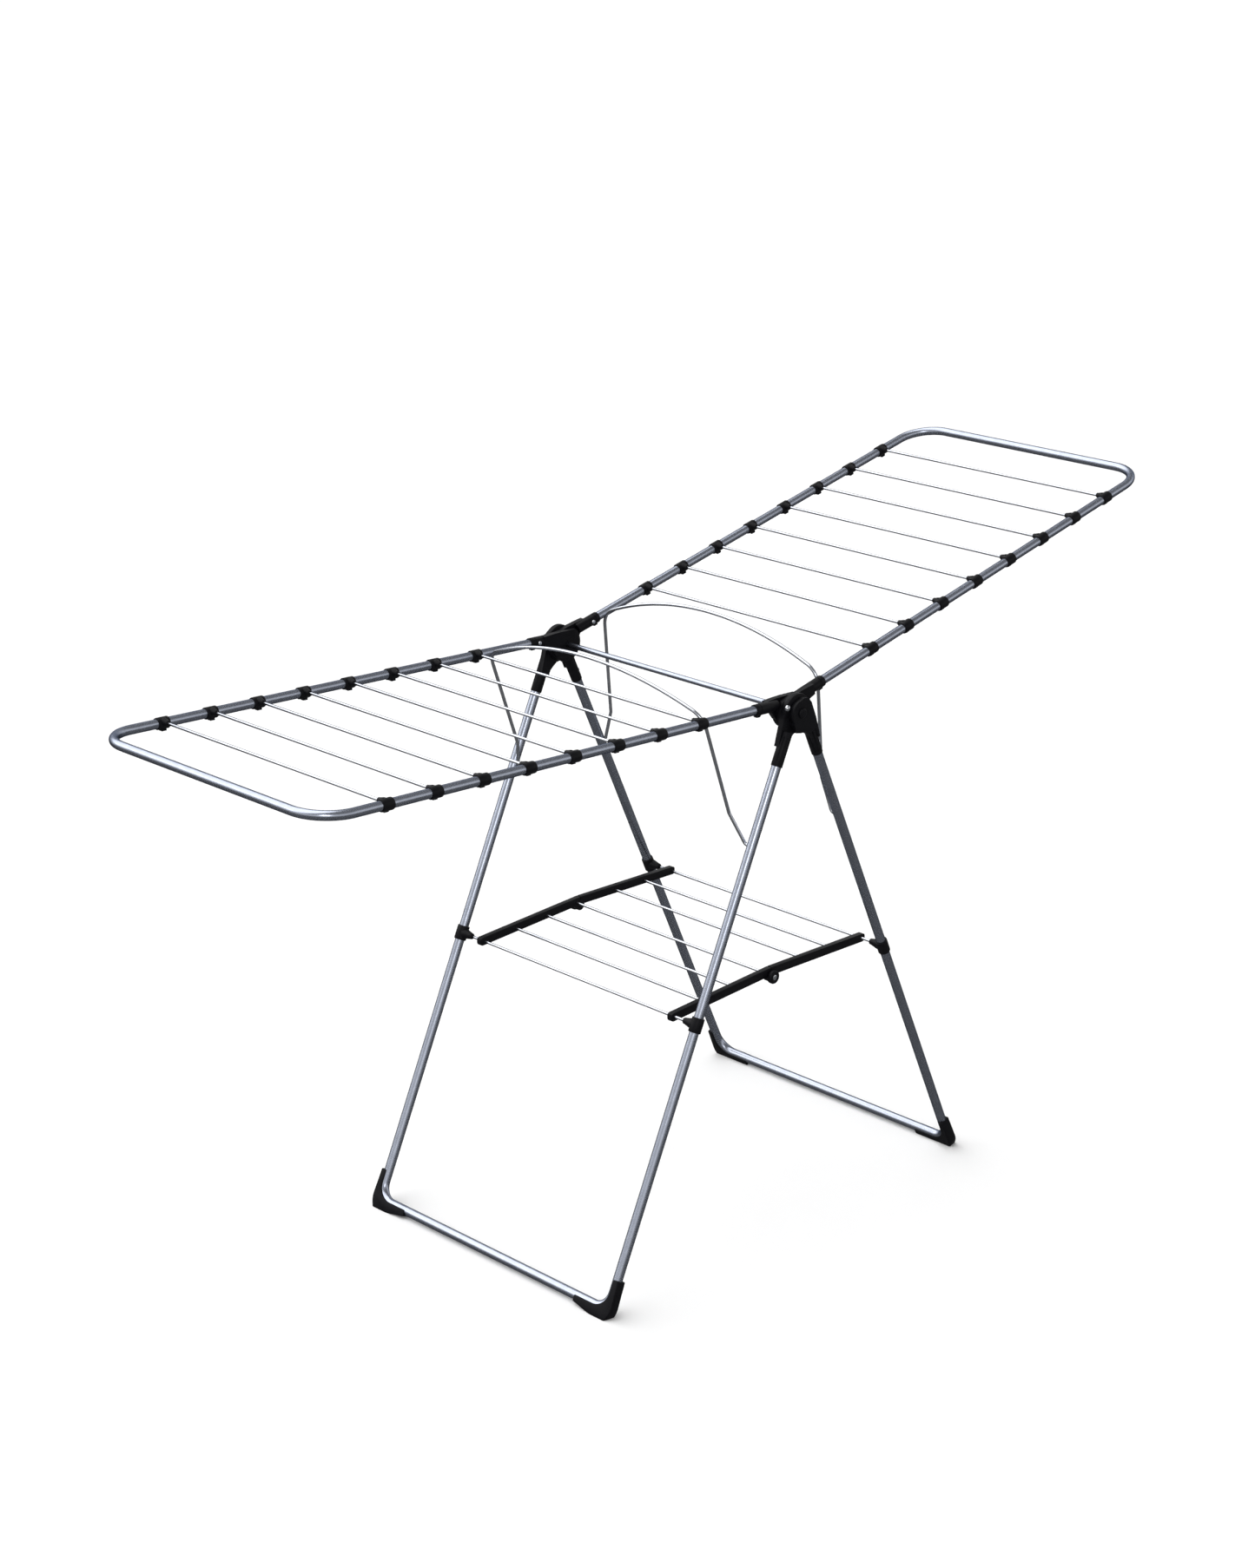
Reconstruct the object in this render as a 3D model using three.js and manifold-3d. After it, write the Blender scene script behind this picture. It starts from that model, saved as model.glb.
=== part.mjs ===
// Folding clothes drying rack: two tube wings with thin rods, two U-shaped leg frames that close
// like scissors about one hinge bar, wire stays that prop the wings, and a shelf that folds up.
// Millimetres. +X runs along the right wing, +Y across the rack, +Z up.
import * as THREE from "three";
import Module from "manifold-3d";
import { mergeVertices } from "three/addons/utils/BufferGeometryUtils.js";

const wasm = await Module();
wasm.setup();

// ---- driving dimensions -----------------------------------------------------------------------
const HINGE_HEIGHT = 965;
const RUNNING_GAP = 0.3;
const CLAMP_GAP = 0.6;

// wings
const RAIL_SPACING = 540;
const WING_TUBE = 16;
const WING_WALL = 0.8;
const WING_BEND = 65;
const RAIL_LIFT = 13.2;
const RAIL_START = 34;
const LEFT_RISE = 3.2;
const RIGHT_RISE = 12.4;
const RODS_PER_WING = 8;
const FIRST_ROD = 218.5;
const ROD_PITCH = 97;
const END_OVERHANG = 126;
const WING_LENGTH = FIRST_ROD + (RODS_PER_WING - 1) * ROD_PITCH + END_OVERHANG;
const ROD = 5;
const ROD_LIFT = 3;

// legs
const LEG_TUBE = 17;
const LEG_WALL = 0.8;
const LEG_SPREAD = 24.8;
const LEG_OFFSET = 11.8;
const LEG_BEND = 32;
const LEG_START = 42;
const FOOT_TUBE_HEIGHT = 11.5;
const CAP_UP = 54;
const CAP_ALONG = 74;
const CAP_WALL = 1.8;

// brackets on the hinge bar, four plates side by side from the inside out
const HINGE_BAR = 10;
const SLEEVE_WALL = 2;
const LEG_SLEEVE_WALL = 1.5;
const PLATE = 9.8;
const WING_PLATE_RADIUS = 32;
const WING_PLATE_TOP = 26;
const FRONT_PLATE_RADIUS = 32;
const REAR_PLATE_RADIUS = 23;
const WING_SLEEVE_END = 88;
const LEG_SLEEVE_END = 98;

// stays
const WIRE = 6;
const STAY_HALF_WIDTH = 256;
const STAY_FOOT = 276;
const STAY_FLARE = 60;
const STAY_PIVOT = 238;
const STAY_HEIGHT = 311;
const ARCH_RADIUS = 600;
const ARCH_CORNER = 36;
const LEFT_CROSSING = 195;
const RIGHT_CROSSING = 94;

// shelf
const SHELF_HEIGHT = 468.6;
const SHELF_RAIL_PLANE = 236;
const SHELF_RAIL = 10;
const SHELF_RAIL_HEIGHT = 15;
const SHELF_OVERHANG = 9;
const MIDDLE_ROD_SETBACK = 12;
const SHELF_PEAK = 9;
const KNOB_DROP = 9;
const KNOB_RADIUS = 12;
const STUB_END = 261;

// ---- sizes that follow --------------------------------------------------------------------------
const RAIL_PLANE = RAIL_SPACING / 2;
const SLEEVE_RADIUS = WING_TUBE / 2 + SLEEVE_WALL;
const WING_PLATE_IN = RAIL_PLANE - SLEEVE_RADIUS;
const WING_PLATE_OUT = RAIL_PLANE + RUNNING_GAP / 2;
const WING_SIDE_OUT = RAIL_PLANE + SLEEVE_RADIUS;
const LEG_SLEEVE_RADIUS = LEG_TUBE / 2 + LEG_SLEEVE_WALL;
const LEG_SIDE_IN = WING_SIDE_OUT + RUNNING_GAP;
const LEG_PLANE = LEG_SIDE_IN + LEG_SLEEVE_RADIUS;
const FRONT_PLATE_OUT = LEG_SIDE_IN + PLATE + RUNNING_GAP / 2;
const LEG_SIDE_OUT = LEG_PLANE + LEG_SLEEVE_RADIUS;
const SPREAD = THREE.MathUtils.degToRad(LEG_SPREAD);
const LEG_LENGTH = (HINGE_HEIGHT - FOOT_TUBE_HEIGHT + LEG_OFFSET * Math.sin(SPREAD)) / Math.cos(SPREAD);
const SHELF_Z = SHELF_HEIGHT - HINGE_HEIGHT;
const SHELF_ALONG = (LEG_OFFSET * Math.sin(SPREAD) - SHELF_Z) / Math.cos(SPREAD);
const SHELF_X = LEG_OFFSET * Math.cos(SPREAD) + SHELF_ALONG * Math.sin(SPREAD);
const SHELF_TILT = Math.atan2(SHELF_PEAK, SHELF_X);
const SHELF_HALF = Math.hypot(SHELF_PEAK, SHELF_X);
const KNOB_U = KNOB_DROP * Math.sin(SHELF_TILT);
const KNOB_W = -KNOB_DROP * Math.cos(SHELF_TILT);
const SHELF_PITCH = (SHELF_HALF - MIDDLE_ROD_SETBACK) / 3;

// ---- materials ----------------------------------------------------------------------------------
const tubeSteel = new THREE.MeshStandardMaterial({ color: 0x969aa8, roughness: 0.38, metalness: 0.9 });
const wireSteel = new THREE.MeshStandardMaterial({ color: 0xd2d5dc, roughness: 0.3, metalness: 0.95 });
const blackPlastic = new THREE.MeshStandardMaterial({ color: 0x141419, roughness: 0.45, metalness: 0 });
const rivetSteel = new THREE.MeshStandardMaterial({ color: 0xdfe2e8, roughness: 0.22, metalness: 1 });

// ---- solids ---------------------------------------------------------------------------------------
function solid(geometry) {
  const bare = geometry.clone();
  bare.deleteAttribute("normal");
  bare.deleteAttribute("uv");
  const merged = mergeVertices(bare, 1e-4);
  const mesh = new wasm.Mesh({
    numProp: 3,
    vertProperties: new Float32Array(merged.attributes.position.array),
    triVerts: new Uint32Array(merged.index.array),
  });
  return new wasm.Manifold(mesh);
}

function geometryOf(manifold) {
  const mesh = manifold.getMesh();
  const geometry = new THREE.BufferGeometry();
  geometry.setAttribute("position", new THREE.BufferAttribute(mesh.vertProperties, mesh.numProp));
  geometry.setIndex(new THREE.BufferAttribute(mesh.triVerts, 1));
  geometry.computeVertexNormals();
  return geometry;
}

function named(name, geometry, material) {
  const mesh = new THREE.Mesh(geometry, material);
  mesh.name = name;
  return mesh;
}

// A round bar from one point to another.
function bar(from, to, radius, sides = 24, endRadius = radius) {
  const axis = new THREE.Vector3().subVectors(to, from);
  const geometry = new THREE.CylinderGeometry(endRadius, radius, axis.length(), sides);
  geometry.translate(0, axis.length() / 2, 0);
  const turn = new THREE.Quaternion().setFromUnitVectors(new THREE.Vector3(0, 1, 0), axis.normalize());
  geometry.applyQuaternion(turn);
  geometry.translate(from.x, from.y, from.z);
  return geometry;
}

// A bar along Y, at x and z, between two values of y.
function barY(x, z, y0, y1, radius, sides = 24) {
  return bar(new THREE.Vector3(x, y0, z), new THREE.Vector3(x, y1, z), radius, sides);
}

// A flat outline drawn in X and Z, thickened in Y from y0 to y1.
function slab(points, y0, y1) {
  const shape = new THREE.Shape(points.map(([x, z]) => new THREE.Vector2(x, z)));
  const geometry = new THREE.ExtrudeGeometry(shape, { depth: y1 - y0, bevelEnabled: false });
  geometry.rotateX(Math.PI / 2);
  geometry.translate(0, y1, 0);
  return geometry;
}

// A path of straight runs and bends, met at its corners; each station is a point and a direction.
class BentPath extends THREE.Curve {
  constructor(stations) {
    super();
    this.stations = stations;
  }

  station(u) {
    return this.stations[Math.round(u * (this.stations.length - 1))];
  }

  getPointAt(u) {
    return this.station(u).point.clone();
  }

  getTangentAt(u) {
    return this.station(u).tangent.clone();
  }

  getPoint(u) {
    return this.getPointAt(u);
  }

  getTangent(u) {
    return this.getTangentAt(u);
  }

  getSpacedPoints(divisions) {
    return Array.from({ length: divisions + 1 }, (_, i) => this.getPointAt(i / divisions));
  }
}

function station(point, tangent) {
  return { point: point.clone(), tangent: tangent.clone().normalize() };
}

// Stations through a list of corners, each rounded to the bend radius.
function roundedRun(corners, bend, steps) {
  const list = [station(corners[0], new THREE.Vector3().subVectors(corners[1], corners[0]))];
  for (let i = 1; i < corners.length - 1; i += 1) {
    const before = new THREE.Vector3().subVectors(corners[i], corners[i - 1]).normalize();
    const after = new THREE.Vector3().subVectors(corners[i + 1], corners[i]).normalize();
    const turn = before.angleTo(after);
    const inward = after.clone().sub(before).normalize();
    const centre = corners[i].clone().addScaledVector(inward, bend / Math.cos(turn / 2));
    const axis = new THREE.Vector3().crossVectors(before, after).normalize();
    const start = corners[i].clone().addScaledVector(before, -bend * Math.tan(turn / 2));
    for (let k = 0; k <= steps; k += 1) {
      const angle = (turn * k) / steps;
      const arm = start.clone().sub(centre).applyAxisAngle(axis, angle);
      list.push(station(centre.clone().add(arm), before.clone().applyAxisAngle(axis, angle)));
    }
  }
  const last = corners.length - 1;
  list.push(station(corners[last], new THREE.Vector3().subVectors(corners[last], corners[last - 1])));
  return list;
}

function ring(radius, sides) {
  return Array.from({ length: sides }, (_, i) => {
    const angle = (2 * Math.PI * (i + 0.5)) / sides;
    return new THREE.Vector2(radius * Math.cos(angle), radius * Math.sin(angle));
  });
}

// A tube, hollow when a wall is given, along a list of stations.
function tube(stations, radius, sides, wall = 0) {
  const shape = new THREE.Shape(ring(radius, sides));
  if (wall > 0) shape.holes.push(new THREE.Path(ring(radius - wall, sides).reverse()));
  const path = new BentPath(stations);
  const steps = stations.length - 1;
  return new THREE.ExtrudeGeometry(shape, { steps, extrudePath: path, bevelEnabled: false });
}

// ---- one wing, drawn pointing along +X with its rails RAIL_LIFT above the hinge axis -----------------
function wingFrame() {
  const corners = [
    new THREE.Vector3(RAIL_START, -RAIL_PLANE, RAIL_LIFT),
    new THREE.Vector3(WING_LENGTH, -RAIL_PLANE, RAIL_LIFT),
    new THREE.Vector3(WING_LENGTH, RAIL_PLANE, RAIL_LIFT),
    new THREE.Vector3(RAIL_START, RAIL_PLANE, RAIL_LIFT),
  ];
  return tube(roundedRun(corners, WING_BEND, 5), WING_TUBE / 2, 12, WING_WALL);
}

// A rod with the clamp at each end that grips the rail.
function dryingRod() {
  const clampLength = 22;
  const bandRadius = WING_TUBE / 2 + 2.2;
  const bossFace = RAIL_PLANE - bandRadius - 6;
  const rodZ = RAIL_LIFT + ROD_LIFT;
  let rod = solid(barY(0, rodZ, -bossFace - 2, bossFace + 2, ROD / 2, 8));
  for (const side of [-1, 1]) {
    const from = new THREE.Vector3(-clampLength / 2, side * RAIL_PLANE, RAIL_LIFT);
    const to = new THREE.Vector3(clampLength / 2, side * RAIL_PLANE, RAIL_LIFT);
    const bossRoot = new THREE.Vector3(0, side * (RAIL_PLANE - 8), rodZ);
    const bossTip = new THREE.Vector3(0, side * bossFace, rodZ);
    const boreFrom = from.clone().setX(-clampLength);
    const boreTo = to.clone().setX(clampLength);
    const bore = solid(bar(boreFrom, boreTo, WING_TUBE / 2 + CLAMP_GAP, 10));
    rod = rod.add(solid(bar(bossRoot, bossTip, 6.5, 6, 4)));
    rod = rod.add(solid(bar(from, to, bandRadius, 10)));
    rod = rod.subtract(bore);
  }
  return geometryOf(rod);
}

// The pivot plate and sleeve of one wing rail, on the side of the rack given by side.
function wingBracket(side, inner) {
  const y0 = inner ? WING_PLATE_IN : WING_PLATE_OUT;
  const y1 = inner ? RAIL_PLANE - RUNNING_GAP / 2 : WING_SIDE_OUT;
  const top = RAIL_LIFT + SLEEVE_RADIUS;
  const crown = WING_PLATE_TOP;
  const web = [
    [-20, crown - 2], [-8, crown], [14, crown], [38, crown - 1],
    [58, top], [58, top - 18], [30, -14], [-20, 0],
  ];
  const sleeveStart = WING_PLATE_RADIUS + 2;
  const sleeve = [
    new THREE.Vector3(sleeveStart, RAIL_PLANE, RAIL_LIFT),
    new THREE.Vector3(WING_SLEEVE_END, RAIL_PLANE, RAIL_LIFT),
  ];
  const bore = [sleeve[0].clone().setX(RAIL_START - 0.6), sleeve[1].clone().setX(WING_SLEEVE_END + 5)];
  const above = slab([[-50, crown], [50, crown], [50, 50], [-50, 50]], y0 - 1, y1 + 1);
  const bracket = solid(barY(0, 0, y0, y1, WING_PLATE_RADIUS, 28))
    .subtract(solid(above))
    .add(solid(slab(web, y0, y1)))
    .add(solid(bar(sleeve[0], sleeve[1], SLEEVE_RADIUS, 18)))
    .subtract(solid(bar(bore[0], bore[1], WING_TUBE / 2 + RUNNING_GAP, 24)))
    .subtract(solid(barY(0, 0, y0 - 5, y1 + 5, HINGE_BAR / 2 + RUNNING_GAP, 16)));
  return mirrored(geometryOf(bracket), side);
}

// Pieces are drawn on the +Y side; side -1 gives the mirror image, with its faces turned back out.
function mirrored(geometry, side) {
  if (side > 0) return geometry;
  const copy = geometry.index ? geometry.toNonIndexed() : geometry.clone();
  copy.scale(1, -1, 1);
  const p = copy.getAttribute("position");
  for (let i = 0; i < p.count; i += 3) {
    const keep = new THREE.Vector3().fromBufferAttribute(p, i + 1);
    p.setXYZ(i + 1, p.getX(i + 2), p.getY(i + 2), p.getZ(i + 2));
    p.setXYZ(i + 2, keep.x, keep.y, keep.z);
  }
  copy.computeVertexNormals();
  return copy;
}

// ---- one leg frame, drawn hanging down along -Z, offset outwards along +X --------------------------
function legFrame() {
  const foot = -LEG_LENGTH;
  const corners = [
    new THREE.Vector3(LEG_OFFSET, -LEG_PLANE, -LEG_START),
    new THREE.Vector3(LEG_OFFSET, -LEG_PLANE, foot),
    new THREE.Vector3(LEG_OFFSET, LEG_PLANE, foot),
    new THREE.Vector3(LEG_OFFSET, LEG_PLANE, -LEG_START),
  ];
  let frame = solid(tube(roundedRun(corners, LEG_BEND, 5), LEG_TUBE / 2, 12, LEG_WALL));
  for (const side of [-1, 1]) {
    const ends = [side * (LEG_PLANE - LEG_TUBE), side * LEG_PLANE].sort((a, b) => a - b);
    const hole = barY(LEG_OFFSET, -STAY_PIVOT, ends[0], ends[1], WIRE / 2 + RUNNING_GAP, 10);
    frame = frame.subtract(solid(hole));
  }
  return geometryOf(frame);
}

function legBracket(side, isFront) {
  const y0 = isFront ? LEG_SIDE_IN : FRONT_PLATE_OUT + RUNNING_GAP;
  const y1 = isFront ? FRONT_PLATE_OUT : LEG_SIDE_OUT;
  const plateRadius = isFront ? FRONT_PLATE_RADIUS : REAR_PLATE_RADIUS;
  const half = LEG_SLEEVE_RADIUS;
  const sleeveTop = -(FRONT_PLATE_RADIUS + 5.5);
  const inner = LEG_OFFSET - half;
  const outer = LEG_OFFSET + half;
  const arch = [[-27, -23], [-17.5, -30], [-7.5, -36], [-3, -43.5], [inner, -53], [inner, -66], [outer, -66]];
  const web = isFront
    ? [...arch, [26.5, -36], [31, -10], [0, 0], [-24, -4]]
    : [...arch, [26.5, -28], [27.5, 4], [24, 15], [15, 21.5], [0, 22.5], [-15, 12], [-24, -8]];
  const upper = new THREE.Vector3(LEG_OFFSET, LEG_PLANE, sleeveTop);
  const lower = new THREE.Vector3(LEG_OFFSET, LEG_PLANE, -LEG_SLEEVE_END);
  const boreTop = upper.clone().setZ(-LEG_START + 0.6);
  const boreLow = lower.clone().setZ(-LEG_SLEEVE_END - 5);
  const bracket = solid(barY(0, 0, y0, y1, plateRadius, 28))
    .add(solid(slab(web, y0, y1)))
    .add(solid(bar(upper, lower, half, 24)))
    .subtract(solid(bar(boreTop, boreLow, LEG_TUBE / 2 + RUNNING_GAP, 24)))
    .subtract(solid(barY(0, 0, y0 - 5, y1 + 5, HINGE_BAR / 2 + RUNNING_GAP, 16)));
  return mirrored(geometryOf(bracket), side);
}

// The cap round the outside of one floor bend: a corner block that follows the middle of the tube
// inside, squares off the bend outside, and is cut flat where it stands.
function footCap(side) {
  const foot = -LEG_LENGTH;
  const tubeRadius = LEG_TUBE / 2;
  const lip = 2;
  const sole = foot - 20;
  const outside = LEG_PLANE + tubeRadius + 3.5;
  const bendY = LEG_PLANE - LEG_BEND;
  const bendZ = foot + LEG_BEND;
  const outline = [
    [LEG_PLANE - lip, foot + CAP_UP],
    [LEG_PLANE + tubeRadius + 1, foot + CAP_UP],
    [outside, foot + 6],
    [outside - 1.5, foot - 5],
    [outside - 9, sole],
    [LEG_PLANE - 22, sole],
    [LEG_PLANE - CAP_ALONG, foot - tubeRadius - 1],
    [LEG_PLANE - CAP_ALONG, foot + lip],
  ];
  for (let k = 0; k <= 4; k += 1) {
    const angle = (-Math.PI / 2) * (1 - k / 4);
    const reach = LEG_BEND - lip;
    outline.push([bendY + reach * Math.cos(angle), bendZ + reach * Math.sin(angle)]);
  }
  const half = tubeRadius + CAP_WALL;
  const block = slab(outline, -LEG_OFFSET - half, -LEG_OFFSET + half);
  block.rotateZ(Math.PI / 2);
  const run = roundedRun([
    new THREE.Vector3(LEG_OFFSET, LEG_PLANE, foot + CAP_UP + 20),
    new THREE.Vector3(LEG_OFFSET, LEG_PLANE, foot),
    new THREE.Vector3(LEG_OFFSET, LEG_PLANE - CAP_ALONG - 20, foot),
  ], LEG_BEND, 5);
  const capped = geometryOf(solid(block).subtract(solid(tube(run, tubeRadius + CLAMP_GAP, 12))));
  capped.rotateY(-SPREAD);
  const floorBlock = new THREE.BoxGeometry(400, 1000, 100);
  floorBlock.translate(LEG_LENGTH * Math.sin(SPREAD), 0, -HINGE_HEIGHT - 50);
  return mirrored(geometryOf(solid(capped).subtract(solid(floorBlock))), side);
}

// The clamp on a leg with the boss that carries the end of the shelf; the boss is bored for a pivot.
function legClamp(side) {
  const bandRadius = LEG_TUBE / 2 + 2.5;
  const at = new THREE.Vector3(LEG_OFFSET, LEG_PLANE, -SHELF_ALONG);
  const shift = (dz) => at.clone().setZ(at.z + dz);
  const clamp = solid(bar(shift(-13), shift(13), bandRadius, 12))
    .add(solid(bar(new THREE.Vector3(at.x, STUB_END + 1, at.z), at, 5, 12, 8.5)))
    .subtract(solid(bar(shift(-30), shift(30), LEG_TUBE / 2 + CLAMP_GAP, 12)))
    .subtract(solid(barY(LEG_OFFSET, -SHELF_ALONG, STUB_END - 5, STUB_END + 18, ROD / 2 + RUNNING_GAP, 8)));
  return mirrored(geometryOf(clamp), side);
}

// ---- one stay: a wire hoop drawn standing up from its pivots ------------------------------------------
function arc(centreY, centreZ, radius, fromDeg, toDeg, steps) {
  const sense = Math.sign(toDeg - fromDeg);
  return Array.from({ length: steps + 1 }, (_, i) => {
    const angle = THREE.MathUtils.degToRad(fromDeg + ((toDeg - fromDeg) * i) / steps);
    const point = new THREE.Vector3(0, centreY + radius * Math.cos(angle), centreZ + radius * Math.sin(angle));
    return station(point, new THREE.Vector3(0, -sense * Math.sin(angle), sense * Math.cos(angle)));
  });
}

function stay() {
  const pinEnd = LEG_PLANE - 2.5;
  const archZ = STAY_HEIGHT - ARCH_RADIUS;
  const cornerY = STAY_HALF_WIDTH - ARCH_CORNER;
  const cornerZ = archZ + Math.sqrt((ARCH_RADIUS - ARCH_CORNER) ** 2 - cornerY ** 2);
  const meet = THREE.MathUtils.radToDeg(Math.atan2(cornerZ - archZ, cornerY));
  const foot = (side) => [
    new THREE.Vector3(0, side * pinEnd, 0),
    new THREE.Vector3(0, side * STAY_FOOT, 0),
    new THREE.Vector3(0, side * STAY_HALF_WIDTH, STAY_FLARE),
    new THREE.Vector3(0, side * STAY_HALF_WIDTH, cornerZ - 20),
  ];
  const run = [
    ...roundedRun(foot(-1), 7, 3).slice(0, -1),
    ...arc(-cornerY, cornerZ, ARCH_CORNER, 180, 180 - meet, 4),
    ...arc(0, archZ, ARCH_RADIUS, 180 - meet, meet, 12).slice(1),
    ...arc(cornerY, cornerZ, ARCH_CORNER, meet, 0, 4).slice(1),
    ...roundedRun(foot(1).reverse(), 7, 3).slice(1),
  ];
  return tube(run, WIRE / 2, 8);
}

// ---- one half of the shelf, drawn from the middle out along +X, with its rods at z = 0 -----------------
// A side rail with the half-thick ear that turns about the knob; the front ear is the inner one.
function shelfRail(side, isFront) {
  const y0 = SHELF_RAIL_PLANE - SHELF_RAIL / 2;
  const y1 = SHELF_RAIL_PLANE + SHELF_RAIL / 2;
  const lap = 0.15;
  const ear = isFront ? [y0, SHELF_RAIL_PLANE - lap] : [SHELF_RAIL_PLANE + lap, y1];
  const pocket = isFront ? [SHELF_RAIL_PLANE - lap, y1 + 2] : [y0 - 2, SHELF_RAIL_PLANE + lap];
  const top = SHELF_RAIL_HEIGHT / 2;
  const bottom = -top;
  const start = 0.6;
  const tip = SHELF_HALF + SHELF_OVERHANG;
  const outline = [
    [start, bottom], [tip - 4, bottom], [tip, bottom + 4],
    [tip, top - 4], [tip - 4, top], [start, top],
  ];
  const web = [[start, KNOB_W - 9], [6, KNOB_W - 8], [18, bottom + 1], [18, bottom + 4], [start, bottom + 4]];
  let rail = solid(slab(outline, y0, y1))
    .subtract(solid(barY(KNOB_U, KNOB_W, pocket[0], pocket[1], 10.6, 20)))
    .add(solid(slab(web, ear[0], ear[1])))
    .add(solid(barY(KNOB_U, KNOB_W, ear[0], ear[1], 10, 18)))
    .subtract(solid(barY(KNOB_U, KNOB_W, y0 - 5, y1 + 5, 3 + RUNNING_GAP, 10)));
  for (const u of isFront ? FRONT_SHELF_RODS : REAR_SHELF_RODS) {
    rail = rail.subtract(solid(barY(u, 0, y0 - 5, y1 + 5, ROD / 2 + RUNNING_GAP, 8)));
  }
  return mirrored(geometryOf(rail), side);
}

// The middle hinge: a pin through both ears with a round knob outside the rail.
function shelfKnob(side) {
  const face = SHELF_RAIL_PLANE + SHELF_RAIL / 2 + RUNNING_GAP;
  const knob = solid(barY(KNOB_U, KNOB_W, SHELF_RAIL_PLANE - SHELF_RAIL / 2 - 1, face + 1, 3, 10))
    .add(solid(barY(KNOB_U, KNOB_W, face, face + 9, KNOB_RADIUS, 18)));
  return mirrored(geometryOf(knob), side);
}

// ---- assembly ---------------------------------------------------------------------------------------------
const FRONT_SHELF_RODS = [0, 1, 2, 3].map((i) => SHELF_HALF - i * SHELF_PITCH);
const REAR_SHELF_RODS = FRONT_SHELF_RODS.slice(0, 3);
const SIDES = { near: -1, far: 1 };
const clothesRack = new THREE.Group();
const aboutHinge = new THREE.Group();
clothesRack.add(aboutHinge);

// A half of the rack, drawn towards +X; the front or left half is turned to face -X.
function half(isFront) {
  const group = new THREE.Group();
  group.rotation.z = isFront ? Math.PI : 0;
  aboutHinge.add(group);
  return group;
}

function tilted(parent, angle) {
  const group = new THREE.Group();
  group.rotation.y = -angle;
  parent.add(group);
  return group;
}

function addHalf(isFront) {
  const group = half(isFront);
  const wingName = isFront ? "left_wing" : "right_wing";
  const legName = isFront ? "front_leg" : "rear_leg";
  const rise = THREE.MathUtils.degToRad(isFront ? LEFT_RISE : RIGHT_RISE);
  const wing = tilted(group, rise);
  const legs = tilted(group, SPREAD);
  wing.add(named(wingName + "_frame", wingFrame(), tubeSteel));
  for (let i = 0; i < RODS_PER_WING; i += 1) {
    const rod = named(wingName + "_rod_" + (i + 1), dryingRod(), wireSteel);
    rod.position.x = FIRST_ROD + i * ROD_PITCH;
    wing.add(rod);
  }
  legs.add(named(legName + "_frame", legFrame(), tubeSteel));
  for (const [where, worldSide] of Object.entries(SIDES)) {
    const side = isFront ? -worldSide : worldSide;
    wing.add(named(wingName + "_bracket_" + where, wingBracket(side, isFront), blackPlastic));
    legs.add(named(legName + "_bracket_" + where, legBracket(side, isFront), blackPlastic));
    legs.add(named(legName + "_shelf_clamp_" + where, legClamp(side), blackPlastic));
    group.add(named(legName + "_foot_cap_" + where, footCap(side), blackPlastic));
  }
  const crossing = isFront ? LEFT_CROSSING : RIGHT_CROSSING;
  const pivotX = LEG_OFFSET * Math.cos(SPREAD) + STAY_PIVOT * Math.sin(SPREAD);
  const pivotZ = LEG_OFFSET * Math.sin(SPREAD) - STAY_PIVOT * Math.cos(SPREAD);
  const crossX = crossing * Math.cos(rise) - RAIL_LIFT * Math.sin(rise);
  const crossZ = crossing * Math.sin(rise) + RAIL_LIFT * Math.cos(rise);
  const hoop = named(isFront ? "left_stay" : "right_stay", stay(), wireSteel);
  hoop.position.set(pivotX, 0, pivotZ);
  hoop.rotation.y = Math.atan2(crossX - pivotX, crossZ - pivotZ);
  group.add(hoop);
}

addHalf(true);
addHalf(false);

// The hinge bar with its end caps, and the rivet on each front leg bracket.
const barEnd = LEG_SIDE_OUT + 0.5;
aboutHinge.add(named("hinge_bar", barY(0, 0, -barEnd, barEnd, HINGE_BAR / 2, 20), tubeSteel));
for (const [where, side] of Object.entries(SIDES)) {
  const cap = mirrored(barY(0, 0, barEnd + 0.1, barEnd + 3, 9, 24).toNonIndexed(), side);
  aboutHinge.add(named("hinge_cap_" + where, cap, blackPlastic));
  const rivet = barY(-27, 13, FRONT_PLATE_OUT + 0.1, FRONT_PLATE_OUT + 5.5, 5.5, 20).toNonIndexed();
  aboutHinge.add(named("bracket_rivet_" + where, mirrored(rivet, side), rivetSteel));
}

// The shelf, a little higher in the middle than at its ends.
function addShelfHalf(isFront) {
  const name = isFront ? "shelf_front" : "shelf_rear";
  const group = tilted(half(isFront), -SHELF_TILT);
  group.position.z = SHELF_Z + SHELF_PEAK;
  for (const [where, worldSide] of Object.entries(SIDES)) {
    const side = isFront ? -worldSide : worldSide;
    group.add(named(name + "_rail_" + where, shelfRail(side, isFront), blackPlastic));
    if (isFront) group.add(named("shelf_knob_" + where, shelfKnob(side), blackPlastic));
  }
  (isFront ? FRONT_SHELF_RODS : REAR_SHELF_RODS).forEach((u, i) => {
    const pivotReach = isFront ? STUB_END + 16 : STUB_END;
    const end = i === 0 ? pivotReach : SHELF_RAIL_PLANE + SHELF_RAIL / 2 - 1;
    group.add(named(name + "_rod_" + (i + 1), barY(u, 0, -end, end, ROD / 2, 10), wireSteel));
  });
}

addShelfHalf(true);
addShelfHalf(false);

// The origin is the centre of the footprint, on the floor.
aboutHinge.position.z = HINGE_HEIGHT;
clothesRack.updateMatrixWorld(true);
const box = new THREE.Box3().setFromObject(clothesRack);
aboutHinge.position.x = -(box.min.x + box.max.x) / 2;

export default clothesRack;
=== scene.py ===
"""A folding clothes drying rack: looks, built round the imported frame. Metres, +Z up."""

import math

import bmesh
import bpy
from mathutils import Matrix, Vector


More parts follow.
